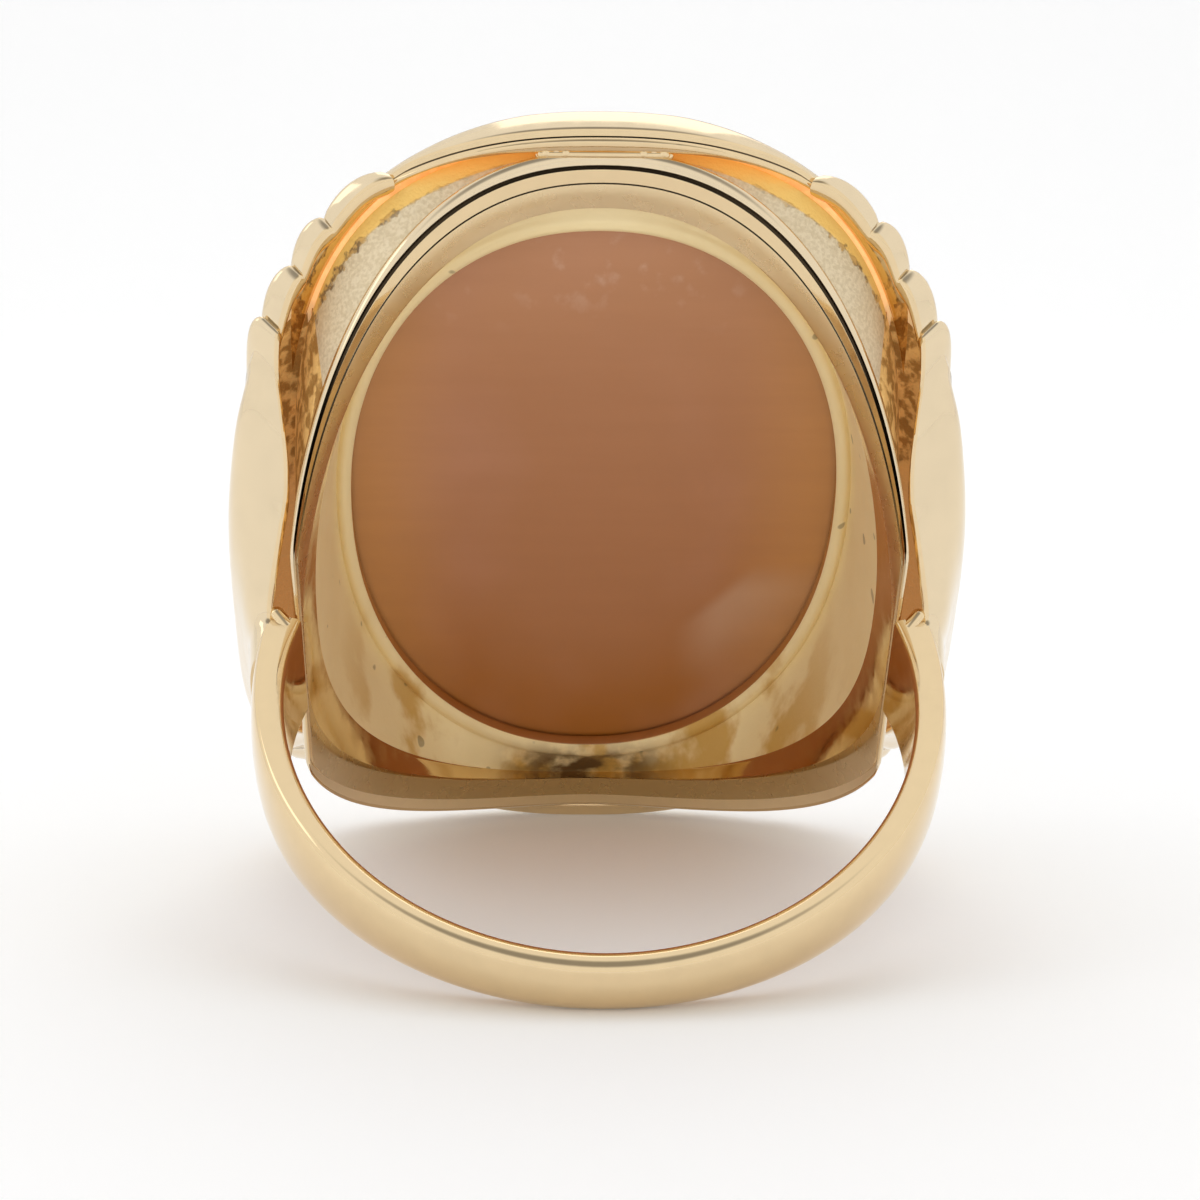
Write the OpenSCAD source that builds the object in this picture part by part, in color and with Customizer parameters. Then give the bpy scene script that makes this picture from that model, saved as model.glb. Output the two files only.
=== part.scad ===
// Cameo ring in yellow gold with a carved shell oval.
// The ring lies on its side, as it would come to rest on a table: on the edge of its head
// and the edge of its band. It is drawn first in its own frame, with the finger along Y and
// the head towards +Z, and tipped onto its side at the end.

/* [Finger] */
// Radius of the finger hole
finger_r = 8.65; // [8:0.05:10]

/* [Band] */
// Metal thickness at the middle of the band
band_t = 0.8; // [0.7:0.05:1.4]
// Width of the band at the bottom
band_w = 1.75; // [1.6:0.05:3]
// Width of the band where it forks into the shoulders
fork_w = 3.7; // [3:0.1:4.4]
// Angle above the finger's centre where the band forks
fork_angle = 16; // [14:0.5:18]

/* [Head] */
// Length of the head along the finger
head_l = 27.3; // [26.6:0.1:28.4]
// Width of the rim's oval, measured across the finger before the shoulders cut it short
head_w = 21.6; // [21:0.1:22.4]
// Height of the rim's top edge above the finger hole
rim_rise = 1.55; // [1.45:0.05:2.1]
// Height of the rim's bottom edge above the finger hole
rim_gap = 0.2; // [0.05:0.05:0.4]
// Thickness of the rim at its bottom edge
rim_t = 0.35; // [0.3:0.05:0.5]
// How far the rim's bottom edge lies inside its top edge
rim_lean = 0.2; // [0.1:0.05:0.3]
// Thickness of the arched deck under the ribs
deck_t = 0.35; // [0.3:0.05:0.5]
// How much wider than high the deck's arch is
deck_spread = 1.45; // [1.4:0.01:1.5]

/* [Gallery] */
// Length of the finger opening's outer edge
rail_l = 25.3; // [24:0.1:25.6]
// How far the finger opening's outer edge lies inside the finger hole at the head's sides
rail_inset = 0.05; // [0:0.01:0.15]
// Width of the rail's flat at the head's ends
rail_flat = 1.25; // [0.8:0.05:1.4]
// Depth of the rail's inner wall
rail_t = 0.7; // [0.4:0.05:0.9]
// Rounded outer strip beyond the rail's edge
rail_round = 0.4; // [0.2:0.05:0.5]
// How far the gallery's lower edge stands above the band's inner end
gallery_rise = 0.12; // [0:0.02:0.3]

/* [Shoulders] */
// Thickness of the hollow shoulders' skin
skin_t = 0.35; // [0.3:0.05:0.5]
// How far the shoulders stand out from the finger hole at their fullest
shoulder_rise = 3.35; // [3.15:0.05:3.65]
// How far a rib stands out of the shoulder
rib_h = 0.3; // [0.15:0.05:0.45]
// How far a rib's rounded end stands out along the finger
rib_end = 0.35; // [0.15:0.05:0.5]

/* [Stone] */
// Length of the cameo
cameo_l = 22; // [20:0.1:22.6]
// Width of the cameo
cameo_w = 16; // [15:0.1:16.4]
// Thickness of the cameo's plate at its edge
cameo_t = 1.3; // [1:0.1:1.8]
// How much higher the plate's middle is than its edge
cameo_dome = 0.7; // [0.3:0.1:1.2]
// Height of the carving above the plate
relief_h = 0.9; // [0.4:0.1:1.4]
// Width of the seat under the cameo's edge
seat_w = 0.7; // [0.5:0.05:0.9]
// Thickness of the seat
seat_t = 0.4; // [0.3:0.05:0.5]
// Height of the seat's underside above the finger hole
seat_rise = 0.48; // [0.35:0.01:0.65]
// Width of the raised lip round the stone's back
lip_w = 0.45; // [0.3:0.05:0.6]
// Wall of the oval bezel
bezel_t = 0.5; // [0.4:0.05:0.8]
// Clearance between the cameo and its setting
fit = 0.08; // [0.05:0.01:0.12]

/* [Hidden] */
gold = "#e0b860";
shell = "#b98263";

// Size of the small bevels and steps in the sections
detail = 0.1;

// How finely the ovals, arches and band are divided
oval_steps = 72;
arch_steps = 16;
hollow_steps = 8;
rib_steps = 4;
band_step = 6;
crown_steps = 8;

// Points of an oval: half width, half length and how square it is
function power(v, e) = sign(v) * pow(abs(v), e);
function oval(a, b, n, t) = [a * power(cos(t), 2 / n), b * power(sin(t), 2 / n)];

// Rings of points, joined into one closed solid. Every ring is a closed loop, and all run the
// same way round. ring_loop joins the last ring to the first; otherwise both ends are capped.
module loft(rings, ring_loop = false) {
  count = len(rings);
  size = len(rings[0]);
  last = ring_loop ? count : count - 1;
  sides = [
    for (i = [0 : last - 1], j = [0 : size - 1])
      let (
        k = (i + 1) % count,
        m = (j + 1) % size,
        p = i * size + j,
        q = i * size + m,
        r = k * size + m,
        s = k * size + j
      )
      each [[p, q, r], [p, r, s]]
  ];
  ends = ring_loop ? [] : [
    [for (j = [size - 1 : -1 : 0]) j],
    [for (j = [0 : size - 1]) (count - 1) * size + j]
  ];
  polyhedron(points = [for (ring = rings) each ring], faces = concat(sides, ends));
}

// Head

stone_a = cameo_w / 2 - seat_w;
stone_b = cameo_l / 2 - seat_w;
bezel_a = cameo_w / 2 + fit;
bezel_b = cameo_l / 2 + fit;
seat_z = finger_r + seat_rise;
seat_top = seat_z + seat_t;
bezel_top = seat_top + fit + cameo_t + 2.5 * detail;
rail_a = finger_r - rail_inset;
rail_b = rail_l / 2;
rim_a = head_w / 2;
rim_b = head_l / 2;
rim_top = finger_r + rim_rise;
rim_bottom = finger_r + rim_gap;
gallery_z = finger_r * sin(fork_angle) + gallery_rise;
flat = 99;

// The deck's arch: heights of its top and its underside at the middle, and the heights at
// which its sides end under the ribs
deck_top = rim_top - 0.5 * detail;
deck_roof = deck_top - deck_t;
deck_side = rim_bottom - 13.5 * detail;
deck_foot = rim_bottom - 7.5 * detail;
rim_inset = 1.2 * detail;

// Half width of the opening inside the rim's broad bottom edge
ledge_a = rail_a + 4 * detail;

// Half length inside the rail's flat, the heights of the small step beyond that flat and of the
// rounded outer strip, and the half length at the fine line along the rim's outside
flat_b = rail_b - rail_flat;
step_r = finger_r + 0.4 * detail;
round_r = finger_r + 4.2 * detail;
line_b = rim_b - rim_lean + 0.5 * detail;

// The head's section, followed once round from the stone's opening. Columns: half width, half
// length, squareness, height at the middle of the arch that the ring of points lies on, the
// arch's half width as a share of that height, the height that the points may reach, and the
// height that they may not drop below at the head's sides.
head_rows = [
  [stone_a, stone_b, 2.15, flat, 1, seat_z, 0],
  [stone_a + 1.5 * detail, stone_b + 1.5 * detail, 2.15, flat, 1, seat_z - 1.2 * detail, 0],
  [stone_a + lip_w - detail, stone_b + lip_w - 0.5 * detail, 2.15, flat, 1, seat_z - 1.2 * detail, 0],
  [stone_a + lip_w, stone_b + lip_w + 1.5 * detail, 2.15, flat, 1, seat_z + 0.2 * detail, 0],
  [rail_a - 5 * detail, flat_b + 4.5 * detail, 2.2, finger_r + rail_t, 1, flat, gallery_z],
  [rail_a - 2.7 * detail, flat_b + 0.5 * detail, 2.28, finger_r + 0.8 * detail, 1, flat, gallery_z + detail],
  [rail_a - 2.3 * detail, flat_b, 2.3, finger_r, 1, flat, gallery_z + 0.3 * detail],
  [rail_a - 0.5 * detail, rail_b - 4.3 * detail, 2.43, finger_r, 1, flat, gallery_z - 0.5 * detail],
  [rail_a - 0.3 * detail, rail_b - 4 * detail, 2.45, step_r, 1, flat, gallery_z - 0.8 * detail],
  [rail_a, rail_b, 2.5, finger_r + 0.6 * detail, 1, flat, gallery_z - 1.2 * detail],
  [rail_a + rail_round * 0.3, rail_b + rail_round * 0.8, 2.5, finger_r + 2.2 * detail, 1, flat, gallery_z],
  [rail_a + rail_round * 0.35, rail_b + rail_round, 2.5, round_r, 1, flat, gallery_z + 4 * detail],
  [rail_a - 0.5 * detail, rail_b - 0.5 * detail, 2.6, round_r + 1.8 * detail, 1, flat, gallery_z + 9 * detail],
  [rail_a + 1.5 * detail, rail_b + 1.5 * detail, 3.3, deck_roof - 2 * detail, deck_spread, flat, 0],
  [rail_a - 5.2 * detail, bezel_b + bezel_t, 3.4, deck_roof, deck_spread, deck_roof, 0],
  [ledge_a, rim_b - rim_t - rim_lean, 3, deck_roof, deck_spread, deck_roof, deck_side],
  [ledge_a, rim_b - rim_t - rim_lean, 3, deck_roof - detail, deck_spread, rim_bottom, deck_side],
  [rim_a, rim_b - rim_lean, 2.35, deck_roof - detail, deck_spread, rim_bottom, deck_side],
  [rim_a, line_b, 2.35, deck_top - 3.5 * detail, deck_spread, rim_bottom + 3 * detail, deck_side],
  [rim_a, rim_b, 2.35, deck_top - 3 * detail, deck_spread, rim_bottom + 3.8 * detail, deck_side + detail],
  [rim_a, rim_b, 2.35, deck_top - 0.5 * detail, deck_spread, rim_top - 2 * detail, deck_foot - detail],
  [rim_a - detail, rim_b - rim_inset, 2.35, deck_top, deck_spread, rim_top, deck_foot],
  [bezel_a + bezel_t + 2 * detail, bezel_b + bezel_t + 2 * detail, 2.15, deck_top, deck_spread, rim_top, 0],
  [bezel_a + bezel_t, bezel_b + bezel_t, 2.15, flat, 1, bezel_top - 3 * detail, 0],
  [bezel_a + bezel_t - 2.5 * detail, bezel_b + bezel_t - 2.5 * detail, 2.15, flat, 1, bezel_top, 0],
  [bezel_a - 1.2 * detail, bezel_b - 1.2 * detail, 2.15, flat, 1, bezel_top, 0],
  [bezel_a, bezel_b, 2.15, flat, 1, bezel_top - 2.5 * detail, 0],
  [bezel_a, bezel_b, 2.15, flat, 1, seat_top, 0],
  [stone_a, stone_b, 2.15, flat, 1, seat_top, 0]
];

function head_ring(row) =
  let (
    rise = row[3],
    half = rise * row[4],
    side_x = half * sqrt(1 - pow(row[6] / rise, 2))
  )
  [
    for (i = [0 : oval_steps - 1])
      let (
        p = oval(row[0], row[1], row[2], -360 * i / oval_steps),
        x = sign(p.x) * min(abs(p.x), side_x)
      )
      [x, p.y, min(row[5], rise * sqrt(1 - pow(x / half, 2)))]
  ];

module head() {
  loft([for (row = head_rows) head_ring(row)], true);
}

// Shoulders

// One row for each section of a shoulder's skin. Columns: angle about the finger, half length
// along the finger as a share of the head's half length, how far the ridge and the free edge
// stand out from the finger hole, both as shares of the shoulders' fullest rise, how far the
// free edge is tucked in as a share of the half length, and whether a rib follows the row.
shoulder_rows = [
  [fork_angle - 8, 0.114, 0.359, 0.165, 0, 0],
  [fork_angle - 4, 0.129, 0.42, 0.194, 0, 0],
  [fork_angle - 1, 0.143, 0.477, 0.284, 0, 0],
  [18, 0.217, 0.581, 0.291, 0.03, 0],
  [20.5, 0.272, 0.688, 0.294, 0.05, 0],
  [23, 0.331, 0.807, 0.301, 0.08, 0],
  [25.5, 0.39, 0.896, 0.319, 0.12, 0],
  [28, 0.449, 0.957, 0.373, 0.13, 0],
  [30.5, 0.515, 0.993, 0.463, 0.13, 0],
  [33, 0.555, 1.007, 0.581, 0.1, 0],
  [35.5, 0.592, 1.014, 0.713, 0.05, 1],
  [38, 0.643, 1, 0.785, 0.03, 1],
  [43.3, 0.733, 0.953, 0.792, 0.02, 1],
  [48.3, 0.822, 0.882, 0.728, 0.02, 1],
  [57, 0.9, 0.7, 0.55, 0, 0]
];

// A section part of the way from one row to the next, with the rib's swell added
function between(i, f) =
  let (
    row = shoulder_rows[i],
    next = shoulder_rows[min(i + 1, len(shoulder_rows) - 1)],
    swell = row[5] * pow(sin(180 * f), 0.6),
    mixed = row + (next - row) * f
  )
  [
    mixed[0],
    mixed[1] * rim_b + swell * rib_end,
    finger_r + mixed[2] * shoulder_rise + swell * rib_h,
    finger_r + mixed[3] * shoulder_rise,
    mixed[4],
    finger_r + mixed[2] * shoulder_rise - skin_t
  ];

shoulder_sections = [
  for (i = [0 : len(shoulder_rows) - 1])
    let (parts = shoulder_rows[i][5] == 1 ? rib_steps : 1)
    for (s = [0 : parts - 1]) between(i, s / parts)
];

// A point at an angle and radius about the finger
function about_finger(angle, r, y) = [r * cos(angle), y, r * sin(angle)];

// A point of an arch with half width w, whose feet are drawn in by the tuck
function arch(w, foot, top, square, tuck, t) =
  let (rise = power(sin(t), 2 / square))
  [w * power(cos(t), 2 / square) * (1 - tuck * pow(1 - rise, 2)), foot + (top - foot) * rise];

function shoulder_ring(s) =
  let (
    thick = min(skin_t, s[1] / 4),
    roof = max(s[3] + 0.5 * detail, s[5]),
    square = s[0] > 34 ? 6 : 2.6 + max(0, s[0] - 14) * 0.12
  )
  concat(
    [
      for (i = [0 : arch_steps])
        let (p = arch(s[1], s[3], s[2], square, s[4], 180 * i / arch_steps))
        about_finger(s[0], p.y, p.x)
    ],
    [
      for (i = [hollow_steps : -1 : 0])
        let (p = arch(s[1] - thick, s[3], roof, square, s[4], 180 * i / hollow_steps))
        about_finger(s[0], p.y, p.x)
    ]
  );

// Room for the stone's back and its gallery, which the shoulders leave free
module stone_room() {
  linear_extrude(height = 2 * rim_top) polygon([
    for (i = [0 : oval_steps - 1])
      oval(rail_a - 6 * detail, bezel_b + 2 * detail, 2.15, 360 * i / oval_steps)
  ]);
}

module shoulder() {
  difference() {
    loft([for (s = shoulder_sections) shoulder_ring(s)]);
    stone_room();
  }
}

// Band

// Half width of the band, and its outer radius, at an angle about the finger
function band_share(angle) = max(0, min(1, (angle + 90) / (90 + fork_angle)));
function band_half(angle) =
  band_w / 2 + (fork_w - band_w) / 2 * pow(band_share(angle), 1.6);
function band_outer(angle) =
  finger_r + band_t + 3.5 * detail * pow(band_share(angle), 4);
function band_side(angle) = detail * (3 + 6 * pow(band_share(angle), 2));

function band_ring(angle) =
  let (
    up = angle > 90 ? 180 - angle : angle < -90 ? -180 - angle : angle,
    w = band_half(up),
    side = finger_r + band_side(up),
    crown = band_outer(up)
  )
  concat(
    [
      about_finger(angle, finger_r + 0.6 * detail, -w),
      about_finger(angle, finger_r, -w + 1.2 * detail),
      about_finger(angle, finger_r, w - 1.2 * detail),
      about_finger(angle, finger_r + 0.6 * detail, w)
    ],
    [
      for (i = [0 : crown_steps])
        let (p = arch(w, side, crown, 2.1, 0, 180 * i / crown_steps))
        about_finger(angle, p.y, p.x)
    ]
  );

module band() {
  sweep = 180 + 2 * fork_angle;
  steps = 2 * round(sweep / band_step / 2);
  loft([for (i = [0 : steps]) band_ring(fork_angle - sweep + sweep * i / steps)]);
}

// Soldered bridges between the rail and the rim, at both ends of the head

bridge_half = 1.7;
bridge_r = 0.16;
post_r = 0.17;

module ball(x, y, z, r) {
  translate([x, y, z]) sphere(r, $fn = 8);
}

module bridge(side) {
  y = side * (rim_b - rim_t - 3 * detail);
  hull() {
    ball(-bridge_half, y, rim_bottom + 0.5 * detail, bridge_r);
    ball(bridge_half, y, rim_bottom + 0.5 * detail, bridge_r);
  }
  for (x = [-0.75, 0.8] * bridge_half) hull() {
    ball(x, side * rail_b, finger_r + rail_round, post_r);
    ball(x, y + side * detail, rim_bottom + 2 * detail, post_r);
  }
}

// Small solder fillets where the rail's ends meet the band
web_r = 0.22;

module web(x, y) {
  hull() {
    ball(x * (rail_a + detail), y * (fork_w / 2 - web_r), gallery_z - web_r, web_r);
    ball(x * (rail_a + 4 * detail), y * fork_w / 2, gallery_z + detail, web_r);
  }
}

module ring_mount() {
  color(gold) rest() union() {
    head();
    shoulder();
    mirror([1, 0, 0]) shoulder();
    band();
    bridge(1);
    bridge(-1);
    for (x = [-1, 1], y = [-1, 1]) web(x, y);
  }
}

// Cameo

// Carved spray of one open flower, leaves and buds. Columns: distance from the middle along the
// width and the length, half length and half width of the form, its turn, and its height, all
// lengths as shares of the cameo's half width and the height as a share of the carving's.
spray = [
  [-0.05, -0.62, 0.36, 0.13, 75, 0.6],
  [0.32, -0.78, 0.34, 0.14, -40, 0.62],
  [-0.42, -0.72, 0.34, 0.14, 215, 0.6],
  [0.3, 0.86, 0.3, 0.12, 60, 0.58],
  [-0.36, 0.84, 0.3, 0.12, 122, 0.58],
  [0, 0.98, 0.22, 0.12, 90, 0.72],
  [0.52, 0.5, 0.24, 0.12, 25, 0.55],
  [-0.56, 0.46, 0.24, 0.12, 160, 0.55],
  [0.04, -1.02, 0.14, 0.07, 88, 0.55]
];
flower_y = 0.12;
petals = 5;

function swell(x, y, s) =
  let (
    dx = x - s[0],
    dy = y - s[1],
    u = (dx * cos(s[4]) + dy * sin(s[4])) / s[2],
    v = (dy * cos(s[4]) - dx * sin(s[4])) / s[3]
  )
  s[5] * sqrt(max(0, 1 - u * u - v * v));

function petal(i, reach, size, turn, h) =
  let (a = 360 * i / petals + turn)
  [reach * cos(a), flower_y + reach * sin(a), size, size * 0.86, a, h];

flower = concat(
  [for (i = [0 : petals - 1]) petal(i, 0.3, 0.24, 90, 0.75)],
  [for (i = [0 : petals - 1]) petal(i, 0.15, 0.16, 54, 0.92)],
  [[0, flower_y, 0.1, 0.1, 0, 1]]
);

function relief(x, y) =
  relief_h * max([for (s = concat(spray, flower)) swell(x * 2 / cameo_w, y * 2 / cameo_w, s)]);

cameo_z = seat_top + fit;
cameo_spokes = 60;
cameo_rings = 15;

function cameo_ring(share, z) = [
  for (i = [0 : cameo_spokes - 1])
    let (p = oval(cameo_w / 2, cameo_l / 2, 2.15, -360 * i / cameo_spokes) * share)
    [p.x, p.y, z]
];

function carved_ring(share) = [
  for (p = cameo_ring(share, 0))
    [p.x, p.y, cameo_z + cameo_t + cameo_dome * (1 - share * share) + relief(p.x, p.y)]
];

module cameo() {
  color(shell) rest() loft(concat(
    [cameo_ring(0.97, cameo_z), cameo_ring(1, cameo_z + 2 * detail)],
    [cameo_ring(1, cameo_z + cameo_t - 4 * detail)],
    [cameo_ring(0.965, cameo_z + cameo_t)],
    [for (i = [cameo_rings : -1 : 1]) carved_ring(0.955 * i / cameo_rings)]
  ));
}

// How the ring lies
//
// It rests on the rim's bottom edge and on the band's edge. The first of the band's points that
// the table meets gives the tilt. Points are distances along the finger and from its centre.
head_touch = [rim_b - rim_lean, rim_bottom];
band_points = [
  for (i = [0 : crown_steps])
    arch(band_w / 2, finger_r + band_side(-90), finger_r + band_t, 2.1, 0, 180 * i / crown_steps)
];
tilt = min([for (p = band_points) atan2(head_touch.x - p.x, head_touch.y + p.y)]);
rest_drop = head_touch.x * cos(tilt) - head_touch.y * sin(tilt);

// The ring's extent along Y as it lies, which puts its middle over the origin
lying_back = (rim_b - rim_inset) * sin(tilt) + rim_top * cos(tilt);
lying_front = max([for (p = band_points) p.x * sin(tilt) + p.y * cos(tilt)]);
rest_shift = (lying_front - lying_back) / 2;

// Tips the upright ring onto its side, so that it rests on the table at height 0
module rest() {
  translate([0, rest_shift, rest_drop]) rotate([tilt - 90, 0, 0]) children();
}

ring_mount();
cameo();
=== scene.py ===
"""A cameo ring in yellow gold, lying on its side, seen from behind through its finger hole.

The ring is shaped upright in its own frame, in millimetres, with the finger along Y and the
head towards +Z, and is then tipped onto its side and written in metres.
"""

import math

import bmesh
import bpy
from mathutils import Matrix, Vector


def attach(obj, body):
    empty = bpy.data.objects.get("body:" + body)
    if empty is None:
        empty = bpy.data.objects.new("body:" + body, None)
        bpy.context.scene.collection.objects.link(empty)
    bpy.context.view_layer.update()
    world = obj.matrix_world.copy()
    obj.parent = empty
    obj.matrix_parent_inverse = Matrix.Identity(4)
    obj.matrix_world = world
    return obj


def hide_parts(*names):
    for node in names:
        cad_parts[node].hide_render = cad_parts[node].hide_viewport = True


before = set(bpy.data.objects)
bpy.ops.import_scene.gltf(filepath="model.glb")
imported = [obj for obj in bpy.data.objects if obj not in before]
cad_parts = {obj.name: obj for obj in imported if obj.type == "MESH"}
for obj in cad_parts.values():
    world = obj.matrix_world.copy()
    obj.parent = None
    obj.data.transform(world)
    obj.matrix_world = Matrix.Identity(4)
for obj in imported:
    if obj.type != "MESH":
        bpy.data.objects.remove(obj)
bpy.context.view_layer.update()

MM = 0.001

# Sizes in millimetres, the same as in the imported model

FINGER_R = 8.65
BAND_T = 0.8
BAND_W = 1.75
FORK_W = 3.7
FORK_ANGLE = 16
HEAD_L = 27.3
HEAD_W = 21.6
RIM_TOP = FINGER_R + 1.55
RIM_BOTTOM = FINGER_R + 0.2
RIM_T = 0.35
RIM_LEAN = 0.2
RIM_INSET = 0.12
DECK_T = 0.35
SPREAD = 1.45
DECK_SIDE = RIM_BOTTOM - 1.35
DECK_FOOT = RIM_BOTTOM - 0.75
RAIL_L = 25.3
RAIL_INSET = 0.05
RAIL_FLAT = 1.25
RAIL_T = 0.7
ROUND = 0.4
GALLERY_Z = FINGER_R * math.sin(math.radians(FORK_ANGLE)) + 0.12
SKIN_T = 0.35
SKIN_EDGE = 0.45
EDGE_ROUND = 0.16
SHOULDER_RISE = 3.35
RIB_H = 0.3
RIB_END = 0.35
CAMEO_L = 22
CAMEO_W = 16
CAMEO_T = 1.3
CAMEO_DOME = 0.7
RELIEF_H = 0.9
SEAT_W = 0.7
SEAT_T = 0.4
SEAT_Z = FINGER_R + 0.48
LIP_W = 0.45
BEZEL_T = 0.5
FIT = 0.08

STONE_A = CAMEO_W / 2 - SEAT_W
STONE_B = CAMEO_L / 2 - SEAT_W
BEZEL_A = CAMEO_W / 2 + FIT
BEZEL_B = CAMEO_L / 2 + FIT
SEAT_TOP = SEAT_Z + SEAT_T
BEZEL_TOP = SEAT_TOP + FIT + CAMEO_T + 0.25
RAIL_A = FINGER_R - RAIL_INSET
RAIL_B = RAIL_L / 2
RIM_A = HEAD_W / 2
RIM_B = HEAD_L / 2
LEDGE_A = RAIL_A + 0.4
DECK_TOP = RIM_TOP - 0.05
DECK_ROOF = DECK_TOP - DECK_T
STONE_SQUARE = 2.15
RIM_SQUARE = 2.35
FLAT = 99

# Half lengths inside the rail's flat, inside the rim, at the rim's foot and at the fine line
# above it, the height of the small step beyond that flat, and the bezel's outer half width and
# half length
FLAT_B = RAIL_B - RAIL_FLAT
LEDGE_B = RIM_B - RIM_T - RIM_LEAN
FOOT_B = RIM_B - RIM_LEAN
LINE_B = FOOT_B + 0.03
STEP_R = FINGER_R + 0.04
OUTER_A = BEZEL_A + BEZEL_T
OUTER_B = BEZEL_B + BEZEL_T

# How finely things are divided
OVAL_STEPS = 288
ARCH_STEPS = 40
HOLLOW_STEPS = 24
RIB_STEPS = 12
ARM_STEPS = 6
EDGE_STEPS = 5
BAND_STEP = 2
CROWN_STEPS = 18


# Curves

def power(v, e):
    return math.copysign(abs(v) ** e, v)


def cosd(angle):
    return math.cos(math.radians(angle))


def sind(angle):
    return math.sin(math.radians(angle))


def oval(a, b, n, angle):
    """A point of an oval with half width a and half length b; n sets how square it is."""
    return a * power(cosd(angle), 2 / n), b * power(sind(angle), 2 / n)


def about_finger(angle, r, y):
    return Vector((r * cosd(angle), y, r * sind(angle)))


def arch(w, foot, top, square, tuck, t):
    """A point of an arch with half width w, whose feet are drawn in by the tuck."""
    rise = power(sind(t), 2 / square) if abs(sind(t)) > 1e-9 else 0.0
    across = w * power(cosd(t), 2 / square) * (1 - tuck * (1 - rise) ** 2)
    return across, foot + (top - foot) * rise


# How the ring lies: on the rim's bottom edge and on the band's edge

def band_share(angle):
    return max(0.0, min(1.0, (angle + 90) / (90 + FORK_ANGLE)))


def band_half(angle):
    return BAND_W / 2 + (FORK_W - BAND_W) / 2 * band_share(angle) ** 1.6


def band_outer(angle):
    return FINGER_R + BAND_T + 0.35 * band_share(angle) ** 4


def band_side(angle):
    return 0.3 + 0.6 * band_share(angle) ** 2


HEAD_TOUCH = (RIM_B - RIM_LEAN, RIM_BOTTOM)
BAND_POINTS = [
    arch(BAND_W / 2, FINGER_R + band_side(-90), FINGER_R + BAND_T, 2.1, 0, 22.5 * i)
    for i in range(9)
]
TILT = min(math.atan2(HEAD_TOUCH[0] - y, HEAD_TOUCH[1] + r) for y, r in BAND_POINTS)
DROP = HEAD_TOUCH[0] * math.cos(TILT) - HEAD_TOUCH[1] * math.sin(TILT)
BACK = (RIM_B - RIM_INSET) * math.sin(TILT) + RIM_TOP * math.cos(TILT)
FRONT = max(y * math.sin(TILT) + r * math.cos(TILT) for y, r in BAND_POINTS)
SHIFT = (FRONT - BACK) / 2
REST = Matrix.Translation((0, SHIFT, DROP)) @ Matrix.Rotation(TILT - math.pi / 2, 4, "X")
TO_ROW = Matrix.Scale(MM, 4) @ REST


# Meshes

def loft(bm, rings, ring_loop, parts=None, depth=None):
    """Joins rings of points into a closed skin.

    parts gives each strip's material index, and depth says how deep inside the head each ring
    of points lies.
    """
    layer = bm.verts.layers.float.new("depth")
    rows = [[bm.verts.new(p) for p in ring] for ring in rings]
    if depth:
        for i, row in enumerate(rows):
            for vert in row:
                vert[layer] = depth(i)
    size = len(rings[0])
    last = len(rows) if ring_loop else len(rows) - 1
    for i in range(last):
        low, high = rows[i], rows[(i + 1) % len(rows)]
        for j in range(size):
            m = (j + 1) % size
            face = bm.faces.new((low[j], low[m], high[m], high[j]))
            face.material_index = parts(i, j) if parts else 0
    if not ring_loop:
        bm.faces.new(list(reversed(rows[0])))
        bm.faces.new(rows[-1])


# The largest share of a side that the curve at its end may take, and a curve's points
CURVE_SHARE = 0.42
CURVE_POINTS = 3


def rounded(points, radii):
    """A closed line of points with each corner cut by a short curve of its own radius."""
    made = []
    count = len(points)
    for i, p in enumerate(points):
        before = points[i - 1] - p
        after = points[(i + 1) % count] - p
        reach_before = min(radii[i], before.length * CURVE_SHARE)
        reach_after = min(radii[i], after.length * CURVE_SHARE)
        start = p + before.normalized() * reach_before if before.length > 1e-9 else p.copy()
        end = p + after.normalized() * reach_after if after.length > 1e-9 else p.copy()
        for k in range(CURVE_POINTS):
            f = k / (CURVE_POINTS - 1)
            made.append(start * (1 - f) ** 2 + p * 2 * f * (1 - f) + end * f**2)
    return made


def finished(name, bm, materials, body="root", node="ring_mount", smooth=40):
    """Turns a mesh in the ring's own frame into a piece of the scene."""
    bmesh.ops.recalc_face_normals(bm, faces=bm.faces)
    place = bm.verts.layers.float_vector.new("place")
    for vert in bm.verts:
        vert[place] = vert.co
    bm.transform(TO_ROW)
    mesh = bpy.data.meshes.new(name)
    bm.to_mesh(mesh)
    bm.free()
    for material in materials:
        mesh.materials.append(material)
    piece = bpy.data.objects.new(name, mesh)
    bpy.context.collection.objects.link(piece)
    mesh.shade_smooth()
    mesh.set_sharp_from_angle(angle=math.radians(smooth))
    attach(piece, body)
    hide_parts(node)
    return piece


# Materials

def nodes_of(name):
    material = bpy.data.materials.new(name)
    material.use_nodes = True
    tree = material.node_tree
    return material, tree, tree.nodes["Principled BSDF"]


def node(tree, kind, inputs=None, **settings):
    """Adds a node. inputs holds plain values or the sockets that feed it."""
    made = tree.nodes.new("ShaderNode" + kind)
    for key, value in settings.items():
        setattr(made, key, value)
    for key, value in (inputs or {}).items():
        if isinstance(value, bpy.types.NodeSocket):
            tree.links.new(value, made.inputs[key])
        else:
            made.inputs[key].default_value = value
    return made


def places(tree):
    """A point's place in the ring's own frame, in millimetres."""
    return node(tree, "Attribute", attribute_name="place").outputs["Vector"]


def noise(tree, scale, detail=2.0, stretch=(1, 1, 1)):
    """Noise with so many waves a millimetre."""
    spot = node(tree, "VectorMath", {0: places(tree), 1: stretch}, operation="MULTIPLY")
    made = node(tree, "TexNoise", {"Vector": spot.outputs[0], "Scale": scale, "Detail": detail})
    return made.outputs["Fac"]


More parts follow.
